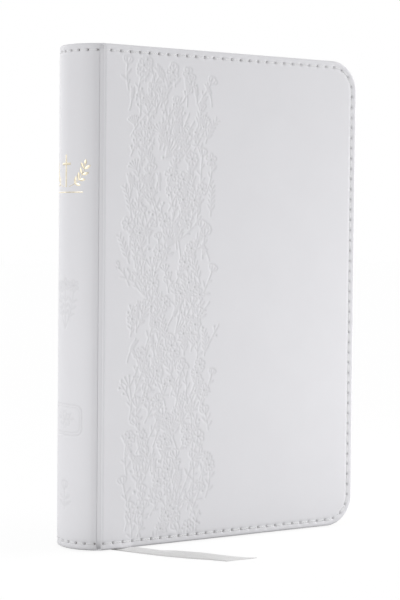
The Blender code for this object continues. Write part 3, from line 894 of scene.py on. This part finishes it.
def press_framed_flower(pen):
    centre = np.array([EMBLEM_S, 56.0])
    ring = towards(np.linspace(0, math.tau, 97))
    ring *= (np.abs(ring) ** 6).sum(axis=1)[:, None] ** (-1 / 6)
    for half_sizes, depth in (((9.8, 6.6), 0.24), ((8.7, 5.5), 0.16)):
        pen.press(centre + ring * half_sizes, pen.FINE, depth)
    for side in (-1, 1):
        pen.leaf(centre + [side * 1.2, 0.0], side * 1.45, 4.6)
        pen.leaf(centre + [side * 1.2, 0.6], side * 0.95, 3.8)
    for k in range(6):
        pen.petal(centre, math.tau * k / 6, 3.0, 0.95)
    pen.dot(centre, 0.6, 0.4)


def press_plant(pen):
    stalk, headings = pen.stem((EMBLEM_S, 17.0), 0.0, 8.5, 0.0, 10)
    pen.press(stalk)
    for k, size in ((1, 4.8), (4, 4.2)):
        pen.leaves(stalk, headings, (k,), 1.0, size)
    pen.cup(stalk[-1], 0.0, 3.8)


def spine_emblems():
    """Blind pressed ornaments down the spine: a posy, a framed flower and a small plant."""
    relief = Relief(-SPINE_HALF, SPINE_HALF, FIELD_INSET, HEIGHT - FIELD_INSET, GRID)
    pen = Meadow(relief, seed=5, depth=0.2)
    press_posy(pen)
    press_framed_flower(pen)
    press_plant(pen)
    return relief


def spine_skin(relief):
    shape = Shape("spine_leather")
    angle = np.linspace(-SPINE_END, SPINE_END, int(round(2 * SPINE_HALF / GRID)) + 1)
    s = angle * SPINE_RADIUS
    low, high = FIELD_INSET, HEIGHT - FIELD_INSET
    field = np.linspace(low, high, int((high - low) / GRID) + 1)[1:-1]
    ends, dark = [], []
    for inset, depth in spine_profile():
        extra, pit = np.zeros((2, len(s)))
        if depth < STITCHED_DEPTH:
            extra, pit = seam_relief(s, inset, spine_holes())
        ends.append(spine_points(angle, inset, depth + extra))
        dark.append(pit)
    pressed = [relief.at(s, np.full(len(s), z)) for z in field]
    middle = [spine_points(angle, z, sunk) for z, sunk in zip(field, pressed)]
    head = [row * [1, 1, -1] + [0, 0, HEIGHT] for row in ends[::-1]]
    grid = np.array(ends + middle + head)
    plain = [np.zeros(len(s))] * len(ends)
    # shade holds the painted shade of the needle holes at both ends of the spine
    shade = np.array(dark + [np.zeros(len(s))] * len(field) + dark[::-1])
    shape.grid(grid, pit=shade, press=np.array(plain + pressed + plain) / MM)
    shape.grid(grid[[0, -1]])
    shape.polygon(grid[:, 0])
    shape.polygon(grid[:, -1])
    return shape


def spine_holes():
    end = SPINE_HALF - SPINE_FIRST_HOLE
    return np.linspace(-end, end, 9)


def spine_seam(z):
    angle = np.linspace(-SPINE_END, SPINE_END, 120)
    return angle * SPINE_RADIUS, *lifted(spine_points, angle, z)


def foil_stroke(shape, points, half_widths):
    """A pillowed line of foil on the spine through (s, z) points in millimetres."""
    points = np.asarray(points, float)
    forward = unit(np.gradient(points, axis=0))
    side = np.column_stack([forward[:, 1], -forward[:, 0]]) * np.reshape(half_widths, (-1, 1))
    rings = []
    for across, rise in ((-1.0, -0.02), (-0.8, 0.035), (0.0, 0.06), (0.8, 0.035), (1.0, -0.02)):
        s, z = (points + side * across).T * MM
        rings.append(spine_points(s / SPINE_RADIUS, z, -rise * MM))
    shape.tube(np.stack(rings, axis=1))


def foil_ornament():
    """A plain Latin cross between two leafy sprigs, over a short rule, in pale foil."""
    shape = Shape("spine_foil_ornament")
    steps = np.linspace(0, 1, 9)[:, None]
    for start, end, half_width in (((0, 156.6), (0, 170.6), 0.55), ((-3.1, 166.6), (3.1, 166.6), 0.55),
                                   ((-9.6, 154.4), (9.6, 154.4), 0.28)):
        course = np.array(start) + steps * np.subtract(end, start)
        foil_stroke(shape, course + [EMBLEM_S, 0.0], half_width)
    pen = Meadow(None, seed=1)
    lens = 0.08 + 0.62 * np.sin(np.pi * steps) ** 0.8
    for side in (-1, 1):
        stalk, headings = pen.stem((EMBLEM_S + side * 1.9, 156.8), side * 1.35, 13.5, -side * 1.25, 16)
        foil_stroke(shape, stalk, 0.16)
        leaves = [(stalk[k] + 0.25 * towards(headings[k] + turn), headings[k] + turn, 3.1)
                  for k in (4, 7, 10, 13) for turn in (-0.75, 0.75)]
        for start, heading, length in leaves + [(stalk[-1], headings[-1], 2.6)]:
            foil_stroke(shape, start + steps * length * towards(heading), lens)
    return shape


# ---------------------------------------------------------------- text block

def leaf_columns(start, bend_x, fore_x):
    """Close steps where the leaf bends, wide ones where it stays flat."""
    bend_low, bend_high = bend_x - 1.6 * MM, bend_x + 4.2 * MM
    before = np.linspace(start, max(bend_low, start + 0.2 * MM), 4)
    bend = np.linspace(before[-1], bend_high, 15)[1:]
    after = np.linspace(bend_high, fore_x - PAGE_CORNER, 8)[1:]
    return np.concatenate([before, bend, after])


def leaf_block(name, levels, bend_x, low=PAGES_LOW, high=PAGES_HIGH, corner=PAGE_CORNER):
    """A stack of leaves; levels are (y, back x, fore x, trim). Slot 1 is the trimmed edge."""
    shape = Shape(name)
    turn = np.radians(np.linspace(0, 90, 7))
    base = leaf_columns(levels[0][1], bend_x, levels[0][2])
    share = (base - base[0]) / (base[-1] - base[0])
    count = len(share)
    rings = []
    for y, back_x, fore_x, trim in levels:
        stop = fore_x - trim - corner
        columns = back_x + share * (stop - back_x)
        z0, z1 = low + trim, high - trim
        tail_arc = np.column_stack([stop + corner * np.sin(turn), z0 + corner * (1 - np.cos(turn))])[1:]
        head_arc = np.column_stack([stop + corner * np.cos(turn), z1 - corner * (1 - np.sin(turn))])[:-1]
        edge = straight(stop + corner, np.linspace(z0 + corner, z1 - corner, 10)[1:-1])
        loop = np.vstack([straight(columns, z0), tail_arc, edge, head_arc, straight(columns[::-1], z1)])
        rings.append(np.insert(loop, 1, y, axis=1))
    rings = np.array(rings)
    shape.grid(rings, slot=1)
    shape.grid(rings[:, [-1, 0]])
    for ring in (rings[0], rings[-1]):
        shape.grid(np.stack([ring[:count], ring[::-1][:count]]))
        shape.polygon(ring[count - 1:len(ring) - count + 1])
    return shape


def fold_back_x(y):
    return FOLD_CENTRE_X - np.sqrt(FOLD_ARC ** 2 - y ** 2)


def signature_shape(number, random):
    """A sewn section with a round back: sub-stacks of leaves with hair-fine steps between them."""
    label = f"signature_{number:02d}"
    leaf_low, leaf_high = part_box(label + "_leaves")
    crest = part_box(label + "_fold")[0].x
    grow, ribbon_gap = 0.045 * MM, 0.24 * MM
    low_y = ribbon_gap if number == 9 else leaf_low.y - grow
    high_y = -ribbon_gap if number == 8 else leaf_high.y + grow
    middle, half = (low_y + high_y) / 2, (high_y - low_y) / 2
    levels = []
    stacks = 7
    for k in range(stacks):
        y0, y1 = (low_y + (high_y - low_y) * share / stacks for share in (k, k + 1))
        step = random.uniform(0.0, 0.05) * MM
        for y, trim in ((y0 + 0.015 * MM, step + 0.06 * MM), (y0 + 0.045 * MM, step),
                        (y1 - 0.045 * MM, step), (y1 - 0.015 * MM, step + 0.06 * MM)):
            back_x = crest + half * (1 - math.sqrt(max(0.0, 1 - ((y - middle) / half) ** 2)))
            levels.append((y, back_x, leaf_high.x + fold_back_x(y) - fold_back_x(middle), trim))
    return leaf_block(label, levels, JOINTS[label + "_gutter"]["pos_m"][0])


def sheet_shape(name, y, thickness, back_x, fore_x, bend_x, inset_z, corner):
    levels = [(y + share * thickness, back_x, fore_x, trim)
              for share, trim in ((-0.5, 0.03 * MM), (-0.25, 0.0), (0.25, 0.0), (0.5, 0.03 * MM))]
    return leaf_block(name, levels, bend_x, inset_z, HEIGHT - inset_z, corner)


def head_band(name, top):
    """A bead of wound thread over the ends of the folds, with its tape behind it."""
    low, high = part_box(name)
    shape = Shape(name + "_bead")
    radius = 0.88 * MM
    bead_z = high.z - radius if top else low.z + radius
    tape_end = low.z if top else high.z
    reach = FOLD_ARC - 0.45 * MM
    half = math.asin(high.y / (FOLD_ARC + 0.4 * MM))
    angle = np.linspace(-half, half, 181)[:, None]
    s = angle * reach
    wind = np.linspace(0, math.tau, 14, endpoint=False)
    rib = radius * (1 + 0.10 * np.abs(np.sin(math.pi * s / (0.55 * MM)))) / 1.1
    inner, outer = FOLD_ARC + 0.16 * MM, FOLD_ARC + 0.38 * MM
    bead = (angle, s, reach + rib * np.cos(wind), bead_z + rib * np.sin(wind))
    tape = (angle[::6], s[::6], np.array([inner, outer, outer, inner]),
            np.array([tape_end, tape_end, bead_z, bead_z]))
    for around, along, r, z in (bead, tape):
        around, along, r, z = np.broadcast_arrays(around, along, r, z)
        rings = np.stack([FOLD_CENTRE_X - r * np.cos(around), r * np.sin(around), z], axis=-1)
        shape.tube(rings, along=along)
    return shape


# ---------------------------------------------------------------- ribbon

def bezier(points, t):
    a, b, c, d = (np.asarray(point, float) for point in points)
    t = t[:, None]
    return a * (1 - t) ** 3 + 3 * b * t * (1 - t) ** 2 + 3 * c * t * t * (1 - t) + d * t ** 3


def ribbon_course():
    """Middle line of the ribbon: down through the leaves, out at the tail, then over the floor."""
    exit_x = JOINTS["ribbon_swing"]["pos_m"][0]
    marker_low, marker_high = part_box("ribbon_marker")
    floor_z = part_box("ribbon_tail")[0].z + 0.16 * MM
    head = (marker_low.x + RIBBON_WIDTH / 2, 0.0, marker_high.z)
    foot = (exit_x, 0.0, 9 * MM)
    inside = bezier([head, (head[0] + 2 * MM, 0.0, HEIGHT * 0.6), (exit_x, 0.0, HEIGHT * 0.5), foot],
                    np.linspace(0, 1, 40))
    plan = [(x * MM, y * MM, floor_z) for x, y in RIBBON_PLAN]
    outside = bezier(plan, np.linspace(RIBBON_TOUCH, 1, 90))
    heading = (outside[1] - outside[0]) / np.linalg.norm(outside[1] - outside[0])
    turn_down = bezier([foot, (exit_x, 0.0, 2.5 * MM), outside[0] - 3.5 * MM * heading, outside[0]],
                       np.linspace(0, 1, 24))
    return np.vstack([inside, turn_down[1:-1], outside]), len(inside) + len(turn_down) - 2


def ribbon_frames(centre, first_out):
    """Distance along the ribbon, and its forward, sideways and upward directions."""
    along = run_length(centre)
    forward = unit(np.gradient(centre, along, axis=0))
    # Across is along X inside the book; outside it is level, square to the course
    level = np.column_stack([-forward[:, 1], forward[:, 0], np.zeros(len(centre))])
    size = np.linalg.norm(level, axis=1)[:, None]
    outside = (np.arange(len(centre)) >= first_out - 14)[:, None] & (size > 0.5)
    across = np.where(outside, level / np.maximum(size, 1e-9), [1.0, 0.0, 0.0])
    across = np.array([across[max(0, k - 5):k + 6].mean(axis=0) for k in range(len(across))])
    across = unit(across - forward * np.sum(across * forward, axis=1)[:, None])
    up = np.cross(across, forward)
    up *= np.where(up[:, 2:3] < -1e-6, -1.0, 1.0)
    return along, forward, across, up


def ribbon_shape():
    """One satin ribbon, tilted where it lies on the floor, with a long slanted cut at its end."""
    centre, first_out = ribbon_course()
    along, forward, across, up = ribbon_frames(centre, first_out)
    t = np.clip((np.arange(len(centre)) - first_out) / (len(centre) - 1 - first_out), 0, 1)[:, None]
    # Tilted part way past the closed cover's edge, and fully where the edge can't reach it when it swings
    tilted = 0.6 * smooth((t - 0.13) / 0.12) + 0.4 * smooth((t - 0.43) / 0.12)
    tilt = RIBBON_TILT * tilted * smooth((1.0 - t) / 0.35)
    cut = RIBBON_CUT * np.clip((t - 0.72) / 0.28, 0, 1)
    cup = 0.15 * MM * np.sin(math.pi * t)
    lanes = np.linspace(-0.5, 0.5, 11)

    sheet = centre[:, None] + (RIBBON_WIDTH * lanes * np.cos(tilt))[:, :, None] * across[:, None]
    sheet[:, :, 2] += (lanes + 0.5) * RIBBON_WIDTH * np.sin(tilt)
    sheet -= ((0.5 - lanes) * cut)[:, :, None] * forward[:, None]
    sheet += ((1 - (2 * lanes) ** 2) * cup)[:, :, None] * up[:, None]
    lane_at, along_at = np.broadcast_arrays(lanes * RIBBON_WIDTH, along[:, None])

    shape = Shape("ribbon")
    upper, lower = (sheet + side * RIBBON_THICK / 2 * up[:, None] for side in (1, -1))
    for face in (upper, lower):
        shape.grid(face, across=lane_at, along=along_at)
    for edge in ((slice(None), 0), (slice(None), -1), (0, slice(None)), (-1, slice(None))):
        shape.grid(np.stack([upper[edge], lower[edge]]), across=np.stack([lane_at[edge]] * 2),
                   along=np.stack([along_at[edge]] * 2))
    return shape


# ---------------------------------------------------------------- assembly

def build_case():
    leather, thread = leather_material(), thread_material()
    path = EdgePath()
    holes = even_holes(path.s[-1])
    for side, word in SIDES:
        relief = front_meadow() if side == FRONT else None
        start, end = ((HINGE_X + reach, side * OUTER_Y, 0.0) for reach in (-0.4 * MM, 3.2 * MM))
        bend = ("root", word + "_cover", start, end)
        skin = cover_skin(side, word + "_leather", path, holes, relief)
        finish(skin, [leather], "cover_leather", [word + "_cover_skin"], blend=bend)
        threads = Shape(word + "_stitches")
        stitch_threads(threads, *cover_seam(side, path), holes)
        for at_tail in (True, False):
            run = joint_seam(side, at_tail, path)
            stitch_threads(threads, *run, [0.0, run[0][-1]])
        finish(threads, [thread], "stitching_thread", [word + "_cover_stitching"], blend=bend, weld=0)

    finish(spine_skin(spine_emblems()), [leather], "cover_leather", ["spine_skin"], body="root")
    for word, z in (("tail", STITCH_INSET), ("head", HEIGHT - STITCH_INSET)):
        threads = Shape(f"spine_{word}_stitches")
        stitch_threads(threads, *spine_seam(z), spine_holes())
        finish(threads, [thread], "stitching_thread", [f"spine_{word}_stitching"], body="root", weld=0)
    finish(foil_ornament(), [foil_material()], "spine_foil", body="root", weld=0)


def gutter_blend(label, before, after):
    """A bend at a leaf's gutter, between the spine and the leaf."""
    x, y, _ = JOINTS[label + "_gutter"]["pos_m"]
    return "root", label, (x - before, y, 0.0), (x + after, y, 0.0)


def build_block():
    edges = [paper_material("book_paper", (0.88, 0.86, 0.79), (0.84, 0.81, 0.73)), gilt_material()]
    random = np.random.default_rng(3)
    for number in range(1, 17):
        label = f"signature_{number:02d}"
        finish(signature_shape(number, random), edges, "page_paper", [label + "_leaves", label + "_fold"],
               blend=gutter_blend(label, 1.2 * MM, 3.0 * MM), sharp=PAGE_SHARP)

    endpapers = [paper_material("endpaper_white", (0.86, 0.86, 0.84), (0.80, 0.80, 0.79), 0.6)] * 2
    for _, word in SIDES:
        flyleaf, pastedown = word + "_flyleaf", word + "_pastedown"
        low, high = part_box(flyleaf)
        x = JOINTS[flyleaf + "_gutter"]["pos_m"][0]
        sheet = sheet_shape(flyleaf + "_sheet", (low.y + high.y) / 2, 0.2 * MM, x - 1.6 * MM, high.x, x,
                            PAGES_LOW, PAGE_CORNER)
        finish(sheet, endpapers, "endpaper", [flyleaf],
               blend=gutter_blend(flyleaf, 1.0 * MM, 2.5 * MM), sharp=PAGE_SHARP)
        low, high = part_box(pastedown)
        sheet = sheet_shape(pastedown + "_sheet", (low.y + high.y) / 2, high.y - low.y, low.x, high.x,
                            low.x + 2 * MM, low.z, 11 * MM)
        finish(sheet, endpapers, "endpaper", [pastedown], body=word + "_cover", sharp=PAGE_SHARP)

    band = band_material()
    for name, top in (("headband", True), ("tailband", False)):
        finish(head_band(name, top), [band], "band_cloth", [name], body="root", weld=0)


def build_ribbon():
    x = JOINTS["ribbon_swing"]["pos_m"][0]
    finish(ribbon_shape(), [satin_material()], "ribbon_satin", ["ribbon_marker", "ribbon_tail"],
           blend=("root", "ribbon_tail", (x, 0.0, 2.5 * MM), (x, -3.0 * MM, -0.5 * MM)))


def dress_hidden_nodes():
    """CAD nodes that stay as they are get a procedural finish of their own."""
    board = hidden_material("liner_board", (0.55, 0.48, 0.38), (0.44, 0.38, 0.30), 900.0)
    card = hidden_material("stiffener_card", (0.66, 0.62, 0.54), (0.56, 0.52, 0.45), 900.0)
    kraft = hidden_material("kraft_paper", (0.58, 0.43, 0.27), (0.47, 0.34, 0.20), 700.0)
    linen = hidden_material("linen_thread", (0.88, 0.85, 0.78), (0.72, 0.68, 0.60), 2500.0)
    finishes = {"front_cover_board": board, "back_cover_board": board, "spine_stiffener": card,
                "spine_lining": kraft, "spine_mull": mull_material(), "sewing_thread": linen}
    for name, material in finishes.items():
        node = frame["nodes"][name]
        node.data.materials.clear()
        node.data.materials.append(material)


# ---------------------------------------------------------------- stage

def place_camera():
    camera = add_object("camera", bpy.data.cameras.new("camera"))
    level = Matrix.Rotation(-CAMERA_YAW, 4, "Z") @ Matrix.Rotation(math.pi / 2 + CAMERA_PITCH, 4, "X")
    turn = level @ Matrix.Rotation(CAMERA_ROLL, 4, "Z")
    camera.matrix_world = Matrix.Translation(CAMERA_PLACE) @ turn
    camera.data.lens = CAMERA_LENS
    camera.data.sensor_width = 36.0
    focus = add_object("focus_point", None)
    focus.location = CAMERA_PLACE + turn @ Vector((0.0, 0.0, -CAMERA_FOCUS))
    camera.data.dof.use_dof = True
    camera.data.dof.focus_object = focus
    camera.data.dof.aperture_fstop = CAMERA_STOP
    bpy.context.scene.camera = camera


def soft_light(azimuth, power, spread):
    """A very large far soft box; azimuth turns from the spine side towards the front cover."""
    light = add_object("soft_light", bpy.data.lights.new("soft_light", "SUN"))
    light.data.energy = power
    light.data.angle = math.radians(spread)
    light.rotation_euler = (math.radians(90 - SOFT_RISE), 0.0, math.radians(azimuth - 90))


def near_box(place, aim, size, power):
    light = add_object("near_box", bpy.data.lights.new("near_box", "AREA"))
    light.data.size = size
    light.data.energy = power
    light.location = place
    light.rotation_euler = (Vector(aim) - Vector(place)).to_track_quat("-Z", "Y").to_euler()
    light.visible_camera = False


def two_faced(n, kind, seen, lit):
    """A shader that the camera and gloss see with one strength, and that lights with another."""
    rays = n.add("LightPath").outputs
    seen_by = n.math("MAXIMUM", rays["Is Camera Ray"], rays["Is Glossy Ray"])
    dark, bright = (n.add(kind, {"Color": (1.0, 1.0, 1.0), "Strength": strength}).outputs[0]
                    for strength in (lit, seen))
    return n.add("MixShader", {0: seen_by, 1: dark, 2: bright}).outputs[0]


def clear_of_book(n):
    """Zero on the floor beside the book and one from a little way off, as in its own shadow."""
    place = n.add("NewGeometry").outputs["Position"]
    offset = n.vector_math("SUBTRACT", place, (FORE_X / 2, 0.0, 0.0))
    size = n.vector_math("ABSOLUTE", offset)
    gap = n.vector_math("SUBTRACT", size, (FORE_X / 2, OUTER_Y, 1.0))
    distance = n.vector_math("LENGTH", n.vector_math("MAXIMUM", gap), output="Value")
    return n.add("MapRange", {"Value": distance, "From Max": SHADOW_REACH}).outputs[0]


def build_floor():
    """A white floor that the book stands on, with its light held back beside the book."""
    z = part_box("ribbon_tail")[0].z - 0.05 * MM
    corners = [(x * FLOOR_REACH, y * FLOOR_REACH, z) for x, y in ((-1, -1), (1, -1), (1, 1), (-1, 1))]
    mesh = bpy.data.meshes.new("floor")
    mesh.from_pydata(corners, [], [(0, 1, 2, 3)])
    n = new_material("pale_floor")
    mesh.materials.append(n.set(Base_Color=(0.12, 0.12, 0.12), Roughness=0.9, Specular_IOR_Level=0.0))
    lit = n.math("MULTIPLY", clear_of_book(n), FLOOR_LIT)
    glow = n.add("AddShader", {0: n.shader.outputs[0], 1: two_faced(n, "Emission", FLOOR_SEEN, lit)})
    n.feed(n.tree.nodes["Material Output"].inputs["Surface"], glow.outputs[0])
    add_object("floor", mesh)


def build_stage():
    """White floor and white surround, with soft light from behind, from the spine and from the fore-edge."""
    build_floor()
    n = Nodes(bpy.data.worlds.new("white_room"))
    n.feed(n.tree.nodes["World Output"].inputs["Surface"], two_faced(n, "Background", WORLD_SEEN, WORLD_LIT))
    bpy.context.scene.world = n.owner
    for light in SOFT_LIGHTS:
        soft_light(*light)
    for box in NEAR_BOXES:
        near_box(*box)
    bpy.context.scene.view_settings.view_transform = "Standard"


build_case()
build_block()
build_ribbon()
dress_hidden_nodes()
build_stage()
place_camera()
